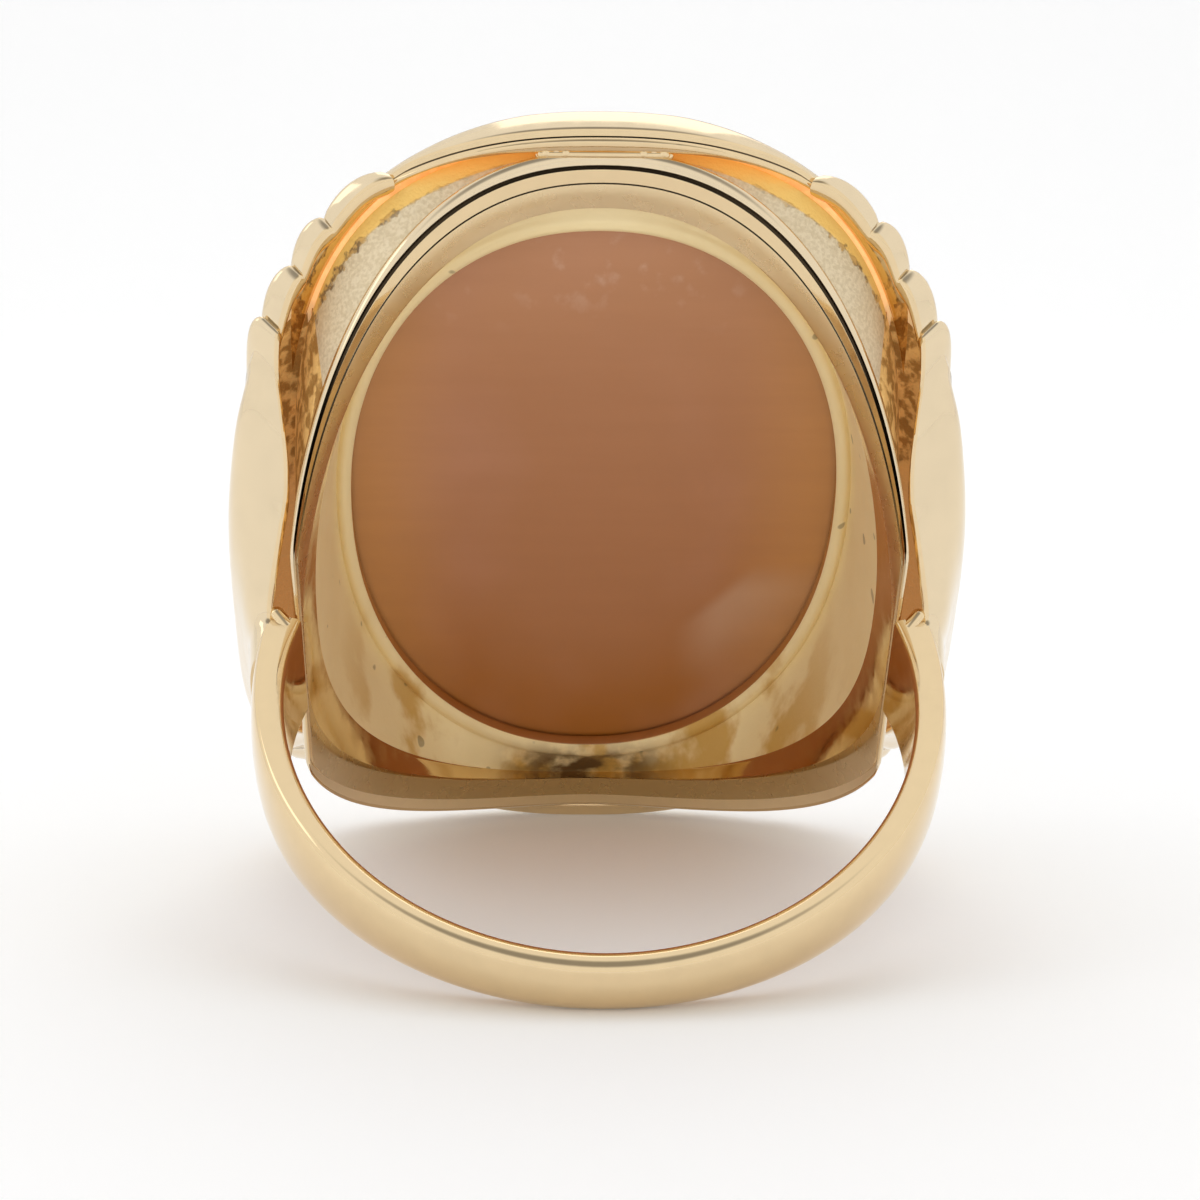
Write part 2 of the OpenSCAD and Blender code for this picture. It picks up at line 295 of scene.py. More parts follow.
def ramp(tree, value, low, high, start=0.0, end=1.0):
    """Goes from start to end while the value goes from low to high."""
    inputs = {"Value": value, "From Min": low, "From Max": high, "To Min": start, "To Max": end}
    return node(tree, "MapRange", inputs, interpolation_type="SMOOTHSTEP").outputs["Result"]


def math_node(tree, operation, a, b):
    return node(tree, "Math", {0: a, 1: b}, operation=operation).outputs[0]


def blend(tree, share, a, b):
    """Colour a turning to b as the share goes from 0 to 1."""
    made = node(tree, "Mix", data_type="RGBA")
    for key, value in ((0, share), (6, a), (7, b)):
        if isinstance(value, bpy.types.NodeSocket):
            tree.links.new(value, made.inputs[key])
        else:
            made.inputs[key].default_value = value if key == 0 else (*value, 1)
    return made.outputs[2]


def bumped(tree, shader, height, depth_mm, strength=1.0):
    bump = node(tree, "Bump", {"Height": height, "Strength": strength, "Distance": depth_mm * MM})
    tree.links.new(bump.outputs["Normal"], shader.inputs["Normal"])


def times(tree, a, b):
    return math_node(tree, "MULTIPLY", a, b)


def spot_parts(tree):
    """How far a point is to the right, towards the far end and above the finger's axis."""
    return node(tree, "SeparateXYZ", {0: places(tree)}).outputs


def size_of(tree, value):
    return math_node(tree, "ABSOLUTE", value, 0.0)


def worn_metal(name, roughness, metallic, wear):
    """Metal whose gloss varies a little from place to place, as handling leaves it."""
    material, tree, shader = nodes_of(name)
    shader.inputs["Metallic"].default_value = metallic
    worn = noise(tree, 1.6, 4)
    gloss = ramp(tree, worn, 0.3, 0.7, max(0.0, roughness - wear), roughness + wear)
    tree.links.new(gloss, shader.inputs["Roughness"])
    return material, tree, shader, worn


def plain_gold(name, color, roughness):
    material, tree, shader, worn = worn_metal(name, roughness, 1.0, WEAR)
    darker = tuple(c * 0.9 for c in color)
    tree.links.new(blend(tree, worn, darker, color), shader.inputs["Base Color"])
    return material


def graded_gold(name, near, far, start, end, roughness, wear):
    """Gold whose colour changes along the finger between two places."""
    material, tree, shader, _ = worn_metal(name, roughness, 1.0, wear)
    share = ramp(tree, spot_parts(tree)[1], start, end)
    tree.links.new(blend(tree, share, near, far), shader.inputs["Base Color"])
    return material


def glow(tree, shader, color, strength):
    """Stands for the light that goes to and fro between the gold walls inside the head."""
    tree.links.new(color, shader.inputs["Emission Color"])
    shader.inputs["Emission Strength"].default_value = strength


WEAR = 0.05
YELLOW_GOLD = (0.84, 0.65, 0.39)
# Gold made a little paler: a painted whitish reflection of the room on the outer surfaces
PALE_REFLECTION_GOLD = (0.83, 0.68, 0.46)
RUBBED_GOLD = (0.82, 0.65, 0.4)
# Painted reflection of the stone on the far part of the rail's inner wall
BROWN_STONE_REFLECTION = (0.5, 0.34, 0.15)
# Painted dark reflection in the thin lines: black on the near side, brown further on
BLACK_LINE_REFLECTION = (0.05, 0.035, 0.02)
BROWN_LINE_REFLECTION = (0.7, 0.5, 0.27)
GREY_DIRT = (0.09, 0.06, 0.03)
BROWN_DIRT = (0.2, 0.12, 0.05)
ORANGE_DIRT = (0.62, 0.38, 0.12)
SMEAR = (0.66, 0.4, 0.1)
# Painted shade for the recess at the middle of the plate's far end
FAR_END_SHADE = (0.16, 0.085, 0.025)
# Painted orange glow of the light reflected deep inside the head
INNER_GLOW_ORANGE = (0.88, 0.57, 0.16)
# Painted shade: the cast metal's far side
FAR_CAST_SHADE = (0.5, 0.36, 0.18)
# Painted shade on the far side of the head's inside
FAR_HOLLOW_SHADE = (0.72, 0.47, 0.2)


def plate_material():
    """The matte plate round the stone's back, with orange smears towards its far end, grey specks of
    dirt, and a patchy painted shade in the middle of its far end.
    """
    material, tree, shader, _ = worn_metal("gold_plate", 0.45, 0.15, WEAR)
    x, y, _ = spot_parts(tree)
    clean = blend(tree, noise(tree, 0.5, 3), (0.9, 0.72, 0.38), (1.0, 0.84, 0.5))
    streaks = ramp(tree, noise(tree, 0.55, 5, (1, 0.5, 1)), 0.45, 0.6)
    smeared = blend(tree, times(tree, streaks, ramp(tree, y, 2.0, 9.5)), clean, SMEAR)
    # Patchy painted shade in the middle of the far end, by the stone's edge
    middle = times(tree, ramp(tree, size_of(tree, x), 1.0, 3.6, 1.0, 0.0), ramp(tree, y, 9.8, 11.2))
    far_end_shade = times(tree, ramp(tree, noise(tree, 1.1, 6), 0.35, 0.6), middle)
    specks = times(tree, ramp(tree, noise(tree, 1.4, 0), 0.8, 0.83), 0.5)
    color = blend(tree, specks, blend(tree, far_end_shade, smeared, FAR_END_SHADE), GREY_DIRT)
    tree.links.new(color, shader.inputs["Base Color"])
    bumped(tree, shader, noise(tree, 6, 3), 0.02, 0.4)
    return material


def cast_material():
    """Sandy metal as it was cast, with a painted orange glow of the light reflected deep inside, dirt
    along that edge, and painted shade towards the far side.
    """
    material, tree, shader, _ = worn_metal("gold_cast", 0.5, 0.35, WEAR)
    grain = noise(tree, 9, 4)
    sandy = blend(tree, ramp(tree, grain, 0.35, 0.65), (0.72, 0.59, 0.38), (0.84, 0.71, 0.49))
    x, y, _ = spot_parts(tree)
    aside = size_of(tree, x)
    far = ramp(tree, y, -1.0, 3.0)
    depth = node(tree, "Attribute", attribute_name="depth").outputs["Fac"]
    past = math_node(tree, "SUBTRACT", depth, ramp(tree, aside, 2.5, 8.4, 0.3, 0.9))
    # Painted orange glow of bounced light in the deep corner, on the near side only
    inside = times(tree, ramp(tree, past, -0.03, 0.04), ramp(tree, far, 0, 1, 1, 0))
    deep = blend(tree, inside, sandy, INNER_GLOW_ORANGE)
    patchy = math_node(tree, "SUBTRACT", noise(tree, 2.8, 6), times(tree, size_of(tree, past), 2.2))
    mask = times(tree, ramp(tree, patchy, 0.36, 0.5), ramp(tree, aside, 3.5, 7.0, 0.25, 0.95))
    soil = blend(tree, ramp(tree, noise(tree, 5, 3), 0.4, 0.58), BROWN_DIRT, ORANGE_DIRT)
    # Painted shade: browner towards the far side
    color = blend(tree, far, blend(tree, mask, deep, soil), FAR_CAST_SHADE)
    tree.links.new(color, shader.inputs["Base Color"])
    glow(tree, shader, blend(tree, inside, (0.0, 0.0, 0.0), color), 0.12)
    bumped(tree, shader, math_node(tree, "ADD", grain, mask), 0.04, 0.6)
    return material


def hollow_material(name, dark, light, side, depth_mm, strength):
    """The inside of the head, which many reflections from gold to gold turn orange. That light is painted
    into its colour and glow, with its own colour towards the sides and painted shade on the far side.
    """
    material, tree, shader, _ = worn_metal(name, 0.45, 0.35, WEAR)
    grain = noise(tree, 2.4, 6)
    mottled = blend(tree, ramp(tree, grain, 0.43, 0.57), dark, light)
    x, y, _ = spot_parts(tree)
    # Towards the sides the painted colour blends to the side colour
    beside = ramp(tree, size_of(tree, x), 3.0, 7.5)
    wide = blend(tree, beside, mottled, blend(tree, 0.4, mottled, side))
    # Painted shade: darker and browner towards the far side
    color = blend(tree, ramp(tree, y, -4.0, -1.5), wide, FAR_HOLLOW_SHADE)
    tree.links.new(color, shader.inputs["Base Color"])
    glow(tree, shader, color, strength)
    bumped(tree, shader, grain, depth_mm, 0.8)
    return material


# Colours of the painted orange glow inside the head and in the rough pockets: dark and light mottle, and
# the colour towards the sides
HOLLOW_COLORS = ((0.86, 0.52, 0.14), (0.92, 0.62, 0.22), (1.0, 0.93, 0.75))
POCKET_COLORS = ((0.3, 0.14, 0.03), (1.0, 0.65, 0.24), (0.5, 0.28, 0.08))

POLISHED, PALE_REFLECTION, SATIN, PLATE, CAST, HOLLOW, POCKET, DARK_REFLECTION_LINE = range(8)
GOLDS = [
    plain_gold("gold_polished", YELLOW_GOLD, 0.08),
    # Paler gold for the outer surfaces, a painted whitish reflection of the room
    plain_gold("gold_pale_reflection", PALE_REFLECTION_GOLD, 0.12),
    # The rail's inner wall: satin gold turning brown towards the far side, a painted reflection of the
    # stone
    graded_gold("gold_satin", RUBBED_GOLD, BROWN_STONE_REFLECTION, 3.0, 9.0, 0.28, 0.02),
    plate_material(),
    cast_material(),
    hollow_material("gold_hollow", *HOLLOW_COLORS, 0.03, 0.25),
    hollow_material("gold_pocket", *POCKET_COLORS, 0.3, 0.2),
    # The thin dark lines at the rail's step and the rim's fine line: a painted dark reflection, black
    # near, brown far
    graded_gold("gold_dark_line_reflection", BLACK_LINE_REFLECTION, BROWN_LINE_REFLECTION, -6.5, -2.0, 0.15, WEAR),
]

SHELL_NEAR = (0.54, 0.26, 0.13)
SHELL_FAR = (0.4, 0.135, 0.014)
SHELL_CORE = (0.47, 0.21, 0.1)
SHELL_PINK = (0.58, 0.29, 0.19)
SHELL_SIDE = (0.62, 0.3, 0.1)
SHELL_LINE = (0.36, 0.15, 0.06)
SHELL_SMOKE = (0.68, 0.46, 0.32)
SHELL_SCUFF = (0.85, 0.66, 0.56)


def shell_material():
    """The stone's back: brown shell with pink zones, fine growth lines and a smoky patch."""
    material, tree, shader = nodes_of("shell")
    x, y, _ = spot_parts(tree)
    ground = blend(tree, ramp(tree, y, -9.5, 9.5), SHELL_NEAR, SHELL_FAR)
    across = math_node(tree, "POWER", times(tree, x, 1 / STONE_A), 2)
    down = math_node(tree, "POWER", times(tree, y, 1 / STONE_B), 2)
    reach = math_node(tree, "ADD", across, down)
    core = times(tree, ramp(tree, reach, 0.1, 0.95, 1.0, 0.0), 0.75)
    centre = blend(tree, core, ground, SHELL_CORE)
    zones = times(tree, ramp(tree, noise(tree, 0.16, 2, (1, 0.7, 1)), 0.4, 0.65), 0.35)
    pink = blend(tree, zones, centre, SHELL_PINK)
    orange = blend(tree, ramp(tree, size_of(tree, x), 3.6, 7.4, 0.0, 0.8), pink, SHELL_SIDE)
    lines = ramp(tree, noise(tree, 0.7, 5, (0.25, 2.0, 1)), 0.3, 0.7, 0.0, 0.12)
    lined = blend(tree, lines, orange, SHELL_LINE)
    moved = {0: math_node(tree, "ADD", x, 2.6), 1: math_node(tree, "ADD", y, 1.5)}
    spokes = node(tree, "CombineXYZ", moved).outputs[0]
    arc = node(tree, "VectorMath", {0: spokes}, operation="LENGTH").outputs["Value"]
    patch = times(tree, ramp(tree, arc, 8.4, 9.0), ramp(tree, y, 2.4, 4.0))
    patch = times(tree, patch, ramp(tree, arc, 9.2, 11.5, 1.0, 0.2))
    patch = times(tree, patch, ramp(tree, x, 2.5, 4.2))
    smoky = blend(tree, times(tree, patch, 0.4), lined, SHELL_SMOKE)
    near = times(tree, ramp(tree, y, -9.6, -6.0, 1.0, 0.0), ramp(tree, reach, 0.8, 1.0, 1.0, 0.0))
    marks = times(tree, ramp(tree, noise(tree, 1.6, 8, (0.9, 0.7, 1)), 0.54, 0.72), near)
    scuffed = blend(tree, times(tree, marks, 0.3), smoky, SHELL_SCUFF)
    tree.links.new(scuffed, shader.inputs["Base Color"])
    gloss = ramp(tree, noise(tree, 0.8, 4), 0.3, 0.7, 0.32, 0.45)
    tree.links.new(gloss, shader.inputs["Roughness"])
    shader.inputs["Specular IOR Level"].default_value = 0.35
    bumped(tree, shader, noise(tree, 2.5, 4), 0.006, 0.3)
    return material


shell = shell_material()


# Head: rows of its section, once round from the stone's opening. Columns: half width, half
# length, squareness, height of the arch that the row lies on, the arch's half width as a share
# of that height, highest and lowest height, rounding of the corner, material of the next strip
# (some strips carry painted light).
HEAD_ROWS = [
    (STONE_A, STONE_B, STONE_SQUARE, FLAT, 1, SEAT_Z, 0, 0.05, PLATE),
    (STONE_A + 0.15, STONE_B + 0.15, STONE_SQUARE, FLAT, 1, SEAT_Z - 0.12, 0, 0.07, PLATE),
    (STONE_A + LIP_W - 0.1, STONE_B + LIP_W - 0.05, STONE_SQUARE, FLAT, 1, SEAT_Z - 0.12, 0, 0.08, PLATE),
    (STONE_A + LIP_W, STONE_B + LIP_W + 0.15, STONE_SQUARE, FLAT, 1, SEAT_Z + 0.02, 0, 0.08, PLATE),
    (RAIL_A - 0.5, FLAT_B + 0.45, 2.2, FINGER_R + RAIL_T, 1, FLAT, GALLERY_Z, 0.12, POLISHED),
    (RAIL_A - 0.27, FLAT_B + 0.05, 2.28, FINGER_R + 0.08, 1, FLAT, GALLERY_Z + 0.1, 0.06, SATIN),
    (RAIL_A - 0.23, FLAT_B, 2.3, FINGER_R, 1, FLAT, GALLERY_Z + 0.03, 0.05, SATIN),
    # The dark strips along the rail's step are a painted dark reflection
    (RAIL_A - 0.05, RAIL_B - 0.45, 2.43, FINGER_R, 1, FLAT, GALLERY_Z - 0.05, 0.01, DARK_REFLECTION_LINE),
    (RAIL_A - 0.03, RAIL_B - 0.42, 2.44, STEP_R, 1, FLAT, GALLERY_Z - 0.08, 0.01, POLISHED),
    (RAIL_A, RAIL_B, 2.5, STEP_R, 1, FLAT, GALLERY_Z - 0.12, 0.03, DARK_REFLECTION_LINE),
    (RAIL_A + 0.02, RAIL_B + 0.03, 2.53, FINGER_R + 0.12, 1, FLAT, GALLERY_Z - 0.08, 0.02, DARK_REFLECTION_LINE),
    # Paler strips on the rail's rounded outer edge: painted whitish reflection
    (RAIL_A + 0.04, RAIL_B + 0.1, 2.56, FINGER_R + 0.1, 1, FLAT, GALLERY_Z - 0.04, 0.04, PALE_REFLECTION),
    (RAIL_A + ROUND * 0.3, RAIL_B + ROUND * 0.8, 2.5, FINGER_R + 0.22, 1, FLAT, GALLERY_Z, 0.12, PALE_REFLECTION),
    (RAIL_A + ROUND * 0.35, RAIL_B + ROUND, 2.5, FINGER_R + 0.42, 1, FLAT, GALLERY_Z + 0.4, 0.12, CAST),
    (RAIL_A - 0.05, RAIL_B - 0.05, 2.6, FINGER_R + 0.6, 1, FLAT, GALLERY_Z + 0.9, 0.1, CAST),
    (RAIL_A + 0.15, RAIL_B + 0.15, 3.3, DECK_ROOF - 0.2, SPREAD, FLAT, 0, 0.1, HOLLOW),
    (RAIL_A - 0.52, OUTER_B, 3.4, DECK_ROOF, SPREAD, DECK_ROOF, 0, 0.1, HOLLOW),
    (LEDGE_A, LEDGE_B, 3, DECK_ROOF, SPREAD, DECK_ROOF, DECK_SIDE, 0.1, HOLLOW),
    (LEDGE_A, LEDGE_B, 3, DECK_ROOF - 0.1, SPREAD, RIM_BOTTOM, DECK_SIDE, 0.08, POLISHED),
    (RIM_A, FOOT_B, RIM_SQUARE, DECK_ROOF - 0.1, SPREAD, RIM_BOTTOM, DECK_SIDE, 0.06, POLISHED),
    # The rim's fine line is a painted dark reflection
    (RIM_A, LINE_B, RIM_SQUARE, DECK_TOP - 0.42, SPREAD, RIM_BOTTOM + 0.13, DECK_SIDE, 0.02, DARK_REFLECTION_LINE),
    (RIM_A, FOOT_B, RIM_SQUARE, DECK_TOP - 0.35, SPREAD, RIM_BOTTOM + 0.25, DECK_SIDE, 0.03, POLISHED),
    # Paler strips on the rim's outside: painted whitish reflection
    (RIM_A, RIM_B, RIM_SQUARE, DECK_TOP - 0.3, SPREAD, RIM_BOTTOM + 0.34, DECK_SIDE + 0.1, 0.08, PALE_REFLECTION),
    (RIM_A, RIM_B, RIM_SQUARE, DECK_TOP - 0.05, SPREAD, RIM_TOP - 0.2, DECK_FOOT - 0.1, 0.14, PALE_REFLECTION),
    (RIM_A - 0.1, RIM_B - RIM_INSET, RIM_SQUARE, DECK_TOP, SPREAD, RIM_TOP, DECK_FOOT, 0.12, POLISHED),
    (OUTER_A + 0.2, OUTER_B + 0.2, STONE_SQUARE, DECK_TOP, SPREAD, RIM_TOP, 0, 0.1, POLISHED),
    (OUTER_A, OUTER_B, STONE_SQUARE, FLAT, 1, BEZEL_TOP - 0.3, 0, 0.1, POLISHED),
    (OUTER_A - 0.25, OUTER_B - 0.25, STONE_SQUARE, FLAT, 1, BEZEL_TOP, 0, 0.08, POLISHED),
    (BEZEL_A - 0.12, BEZEL_B - 0.12, STONE_SQUARE, FLAT, 1, BEZEL_TOP, 0, 0.04, POLISHED),
    (BEZEL_A, BEZEL_B, STONE_SQUARE, FLAT, 1, BEZEL_TOP - 0.25, 0, 0.04, POLISHED),
    (BEZEL_A, BEZEL_B, STONE_SQUARE, FLAT, 1, SEAT_TOP, 0, 0.04, POLISHED),
    (STONE_A, STONE_B, STONE_SQUARE, FLAT, 1, SEAT_TOP, 0, 0.04, POLISHED),
]
# The row in the corner between collar and deck, and how far the rough pockets reach along the
# finger and in towards the head's middle
CORNER_ROW = 15
POCKET_END = 8.2
POCKET_SIDE = 6.8


def head_point(row, angle):
    a, b, square, rise, spread, top, low = row[:7]
    half = rise * spread
    side_x = half * math.sqrt(1 - (low / rise) ** 2)
    x, y = oval(a, b, square, angle)
    x = math.copysign(min(abs(x), side_x), x)
    return Vector((x, y, min(top, rise * math.sqrt(max(0.0, 1 - (x / half) ** 2)))))


def roughen(bm):
    """Marks the deep pockets between the shoulders and the gallery, which were left rough."""
    for face in bm.faces:
        middle = face.calc_center_median()
        deep = abs(middle.y) < POCKET_END and abs(middle.x) > POCKET_SIDE
        if deep and face.material_index in (HOLLOW, CAST):
            face.material_index = POCKET


def head():
    radii = [row[7] for row in HEAD_ROWS]
    lines = []
    for i in range(OVAL_STEPS):
        angle = -360 * i / OVAL_STEPS
        lines.append(rounded([head_point(row, angle) for row in HEAD_ROWS], radii))
    rings = [[line[k] for line in lines] for k in range(len(lines[0]))]
    bm = bmesh.new()
    loft(
        bm,
        rings,
        True,
        lambda i, j: HEAD_ROWS[(i - 1) // CURVE_POINTS % len(HEAD_ROWS)][8],
        lambda i: 1.0 if i // CURVE_POINTS in (CORNER_ROW, CORNER_ROW + 1) else 0.0,
    )
    roughen(bm)
    return finished("head", bm, GOLDS)


# Shoulders. Columns: angle about the finger, half length as a share of the head's, how far the
# ridge and the free edge stand out from the finger hole as shares of the fullest rise, tuck of
# the free edge, rib or not.
SHOULDER_ROWS = [
    (FORK_ANGLE - 8, 0.114, 0.359, 0.165, 0, 0),
    (FORK_ANGLE - 4, 0.129, 0.42, 0.194, 0, 0),
    (FORK_ANGLE - 1, 0.143, 0.477, 0.284, 0, 0),
    (18, 0.217, 0.581, 0.291, 0.03, 0),
    (20.5, 0.272, 0.688, 0.294, 0.05, 0),
    (23, 0.331, 0.807, 0.301, 0.08, 0),
    (25.5, 0.39, 0.896, 0.319, 0.12, 0),
    (28, 0.449, 0.957, 0.373, 0.13, 0),
    (30.5, 0.515, 0.993, 0.463, 0.13, 0),
    (33, 0.555, 1.007, 0.581, 0.1, 0),
    (35.5, 0.592, 1.014, 0.713, 0.05, 1),
    (38, 0.643, 1, 0.785, 0.03, 1),
    (43.3, 0.733, 0.953, 0.792, 0.02, 1),
    (48.3, 0.822, 0.882, 0.728, 0.02, 1),
    (57, 0.9, 0.7, 0.55, 0, 0),
]


def between(i, f):
    """A section part of the way from one row to the next, with the rib's swell added."""
    rows = SHOULDER_ROWS
    row = rows[i]
    after = rows[min(i + 1, len(rows) - 1)]
    rib = row[5]
    if rib:
        mixed = [a + (b - a) * f for a, b in zip(row, after)]
    else:
        before = rows[max(i - 1, 0)]
        beyond = rows[min(i + 2, len(rows) - 1)]
        mixed = [
            b + 0.5 * f * (c - a + f * (2 * a - 5 * b + 4 * c - d + f * (3 * (b - c) + d - a)))
            for a, b, c, d in zip(before, row, after, beyond)
        ]
    swell = rib * sind(180 * f) ** 0.7 if 0 < f < 1 else 0.0
    wave = rib * (0.5 - 0.5 * cosd(360 * f))
    return (
        mixed[0],
        mixed[1] * RIM_B + swell * RIB_END,
        FINGER_R + mixed[2] * SHOULDER_RISE + swell * RIB_H,
        FINGER_R + mixed[3] * SHOULDER_RISE,
        mixed[4],
        FINGER_R + mixed[2] * SHOULDER_RISE - SKIN_T,
        mixed[1] * RIM_B + wave * RIB_END * 0.7,
    )


def skin_edge(outside, inside, foot, way):
    """The rounded free edge of the skin, from one of its sides to the other."""
    middle = (outside + inside) / 2
    half = (outside - inside) / 2
    turns = [180 * k / (EDGE_STEPS + 1) for k in range(1, EDGE_STEPS + 1)]
    points = [(middle + half * cosd(t), foot - EDGE_ROUND * sind(t)) for t in turns]
    return points if way > 0 else [(-y, r) for y, r in points]


def shoulder_ring(section, side):
    angle, half, ridge, foot, tuck, under, inner_half = section
    thick = min(SKIN_EDGE, inner_half / 4)
    roof = max(foot + 0.05, under)
    square = 6 if angle > 34 else 2.6 + max(0, angle - 14) * 0.12
    at = angle if side > 0 else 180 - angle
    outer = [arch(half, foot, ridge, square, tuck, 180 * i / ARCH_STEPS) for i in range(ARCH_STEPS + 1)]
    inner = [
        arch(inner_half - thick, foot, roof, square, tuck, 180 * i / HOLLOW_STEPS)
        for i in range(HOLLOW_STEPS, -1, -1)
    ]
    near = skin_edge(outer[0][0], inner[-1][0], foot, -1)
    far = list(reversed(skin_edge(outer[0][0], inner[-1][0], foot, 1)))
    return [about_finger(at, r, y) for y, r in outer + near + inner + far]


def stone_room():
    """A block that holds the room of the stone and its bezel, to be cut from a shoulder."""
    bm = bmesh.new()
    rings = []
    for z in (-1.0, BEZEL_TOP + 1):
        ring = [oval(BEZEL_A + 0.15, BEZEL_B + 0.2, STONE_SQUARE, 3 * i) for i in range(120)]
        rings.append([Vector((x, y, z)) for x, y in ring])
    loft(bm, rings, False)
    bmesh.ops.recalc_face_normals(bm, faces=bm.faces)
    bm.transform(TO_ROW)
    mesh = bpy.data.meshes.new("stone_room")
    bm.to_mesh(mesh)
    bm.free()
    block = bpy.data.objects.new("stone_room", mesh)
    bpy.context.collection.objects.link(block)
    return block


def cut(piece, block):
    modifier = piece.modifiers.new("cut", "BOOLEAN")
    modifier.operation = "DIFFERENCE"
    modifier.solver = "EXACT"
    modifier.object = block
    bpy.context.view_layer.objects.active = piece
    for other in bpy.context.selected_objects:
        other.select_set(False)
    piece.select_set(True)
    bpy.ops.object.modifier_apply(modifier=modifier.name)


def shoulder_part(i, j):
    """The material of a strip of the skin: paler gold outside, a painted whitish reflection; polished at
    its edges; inside a painted orange glow of the light between the gold walls.
    """
    if j < ARCH_STEPS:
        return PALE_REFLECTION
    start = ARCH_STEPS + EDGE_STEPS + 1
    return HOLLOW if start <= j < start + HOLLOW_STEPS else POLISHED


def shoulder(name, side, block):
    sections = []
    for i, row in enumerate(SHOULDER_ROWS):
        steps = RIB_STEPS if row[5] else ARM_STEPS
        if i == len(SHOULDER_ROWS) - 1:
            steps = 1
        sections += [between(i, s / steps) for s in range(steps)]
    bm = bmesh.new()
    loft(
        bm,
        [shoulder_ring(s, side) for s in sections],
        False,
        shoulder_part,
    )
    roughen(bm)
    piece = finished(name, bm, GOLDS)
    cut(piece, block)
    return piece


# Band

def band_ring(angle):
    up = 180 - angle if angle > 90 else -180 - angle if angle < -90 else angle
    w = band_half(up)
    side = FINGER_R + band_side(up)
    crown = band_outer(up)
    inner = [
        (-w, FINGER_R + 0.1),
        (-w + 0.03, FINGER_R + 0.045),
        (-w + 0.09, FINGER_R + 0.01),
        (-w + 0.16, FINGER_R),
        (w - 0.16, FINGER_R),
        (w - 0.09, FINGER_R + 0.01),
        (w - 0.03, FINGER_R + 0.045),
        (w, FINGER_R + 0.1),
    ]
    outer = [arch(w, side, crown, 2.1, 0, 180 * i / CROWN_STEPS) for i in range(CROWN_STEPS + 1)]
    return [about_finger(angle, r, y) for y, r in inner + outer]


def band():
    sweep = 180 + 2 * FORK_ANGLE
    steps = 2 * round(sweep / BAND_STEP / 2)
    bm = bmesh.new()
    loft(bm, [band_ring(FORK_ANGLE - sweep + sweep * i / steps) for i in range(steps + 1)], False)
    return finished("band", bm, GOLDS)


# Bridges between rail and rim, and webs where the rail meets the band

def capsule(bm, start, end, r):
    """The hull of two balls, each given by its middle and radius."""
    for centre in (start, end):
        bmesh.ops.create_icosphere(bm, subdivisions=3, radius=r, matrix=Matrix.Translation(centre))


def hulled(name, pairs):
    bm = bmesh.new()
    for start, end, r in pairs:
        part = bmesh.new()
        capsule(part, Vector(start), Vector(end), r)
        hull = bmesh.ops.convex_hull(part, input=part.verts)
        inside = [g for g in hull["geom_interior"] if isinstance(g, bmesh.types.BMVert)]
        bmesh.ops.delete(part, geom=inside, context="VERTS")
        mesh = bpy.data.meshes.new("part")
        part.to_mesh(mesh)
        part.free()
        bm.from_mesh(mesh)
        bpy.data.meshes.remove(mesh)
    return finished(name, bm, GOLDS)


# The wire across and its two posts, each with small lumps of solder beside it
BRIDGE_HALF = 1.7
BRIDGE_R = 0.1
POSTS = (-0.75 * BRIDGE_HALF, 0.8 * BRIDGE_HALF)
POST_R = 0.2
LUMPS = (-0.28, 0.26)
LUMP_R = 0.14


def bridge(name, side):
    y = side * (RIM_B - RIM_T - 0.3)
    z = RIM_BOTTOM + 0.05
    pairs = [((-BRIDGE_HALF, y, z), (BRIDGE_HALF, y, z), BRIDGE_R)]
    for x in POSTS:
        foot = (x, side * RAIL_B, FINGER_R + 0.4)
        pairs.append((foot, (x, y + side * 0.1, RIM_BOTTOM + 0.2), POST_R))
        for aside in LUMPS:
            pairs.append((foot, (x + aside, y + side * 0.02, RIM_BOTTOM + 0.08), LUMP_R))
            pairs.append(((x + aside * 1.6, side * (RAIL_B + 0.28), FINGER_R + 0.34), foot, LUMP_R))
    return hulled(name, pairs)


WEB_R = 0.22


def webs():
    pairs = []
    for x in (-1, 1):
        for y in (-1, 1):
            pairs.append((
                (x * (RAIL_A + 0.1), y * (FORK_W / 2 - WEB_R), GALLERY_Z - WEB_R),
                (x * (RAIL_A + 0.4), y * FORK_W / 2, GALLERY_Z + 0.1),
                WEB_R,
            ))
    return hulled("webs", pairs)


# Cameo

SPRAY = [
    (-0.05, -0.62, 0.36, 0.13, 75, 0.6),
    (0.32, -0.78, 0.34, 0.14, -40, 0.62),
    (-0.42, -0.72, 0.34, 0.14, 215, 0.6),
    (0.3, 0.86, 0.3, 0.12, 60, 0.58),
    (-0.36, 0.84, 0.3, 0.12, 122, 0.58),
    (0, 0.98, 0.22, 0.12, 90, 0.72),
    (0.52, 0.5, 0.24, 0.12, 25, 0.55),
    (-0.56, 0.46, 0.24, 0.12, 160, 0.55),
    (0.04, -1.02, 0.14, 0.07, 88, 0.55),
]
FLOWER_Y = 0.12
PETALS = 5


def petal(i, reach, size, turn, height):
    a = 360 * i / PETALS + turn
    return reach * cosd(a), FLOWER_Y + reach * sind(a), size, size * 0.86, a, height


FLOWER = [petal(i, 0.3, 0.24, 90, 0.75) for i in range(PETALS)]
FLOWER += [petal(i, 0.15, 0.16, 54, 0.92) for i in range(PETALS)]
FLOWER.append((0, FLOWER_Y, 0.1, 0.1, 0, 1))


def swell(x, y, form):
    dx, dy = x - form[0], y - form[1]
    u = (dx * cosd(form[4]) + dy * sind(form[4])) / form[2]
    v = (dy * cosd(form[4]) - dx * sind(form[4])) / form[3]
    return form[5] * math.sqrt(max(0.0, 1 - u * u - v * v))


